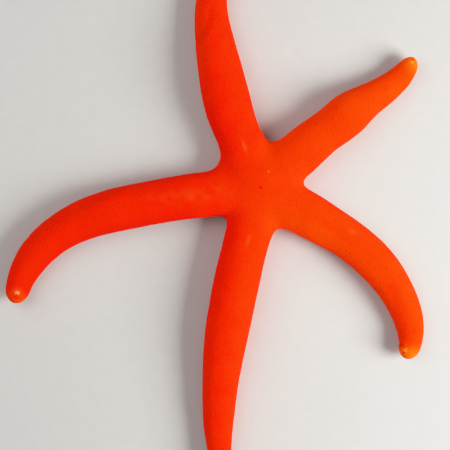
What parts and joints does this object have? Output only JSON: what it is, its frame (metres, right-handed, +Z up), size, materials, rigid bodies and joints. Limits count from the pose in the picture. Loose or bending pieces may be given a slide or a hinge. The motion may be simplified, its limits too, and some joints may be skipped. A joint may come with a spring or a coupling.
{
  "type": "starfish",
  "caption": "Life-size still model of a slender red sea star lying flat, with a small disc and long round tapering arms that curve to pale orange tips.",
  "frame": {"origin": "on the ground, under the middle of the whole animal's outline seen from above", "axes": "+Z up from the ground; +Y towards the upper arm, with the animal spread in the XY plane; +X to the right seen from above"},
  "size_m": [0.1674, 0.2038, 0.0152],
  "materials": {
    "skin": "soft velvety skin with a faint wet sheen",
    "tip_skin": "smooth, faint wet sheen",
    "sieve_plate": "matt, finely furrowed",
    "membrane": "soft, damp",
    "tube_foot": "soft, damp, slightly translucent",
    "spine": "matt, in skin"
  },
  "bodies": {
    "root": {"disc": "skin", "madreporite": "sieve_plate", "mouth_membrane": "membrane", "arm_upper_right_base": "skin", "arm_upper_right_inner": "skin", "arm_upper_right_outer": "skin", "arm_upper_right_end": "skin", "arm_upper_right_tip": "tip_skin", "arm_top_base": "skin", "arm_top_inner": "skin", "arm_top_outer": "skin", "arm_top_end": "skin", "arm_top_tip": "tip_skin", "arm_left_base": "skin", "arm_left_inner": "skin", "arm_left_outer": "skin", "arm_left_end": "skin", "arm_left_tip": "tip_skin", "arm_bottom_base": "skin", "arm_bottom_inner": "skin", "arm_bottom_outer": "skin", "arm_bottom_end": "skin", "arm_bottom_tip": "tip_skin", "arm_lower_right_base": "skin", "arm_lower_right_inner": "skin", "arm_lower_right_outer": "skin", "arm_lower_right_end": "skin", "arm_lower_right_tip": "tip_skin"}
  },
  "joints": []
}
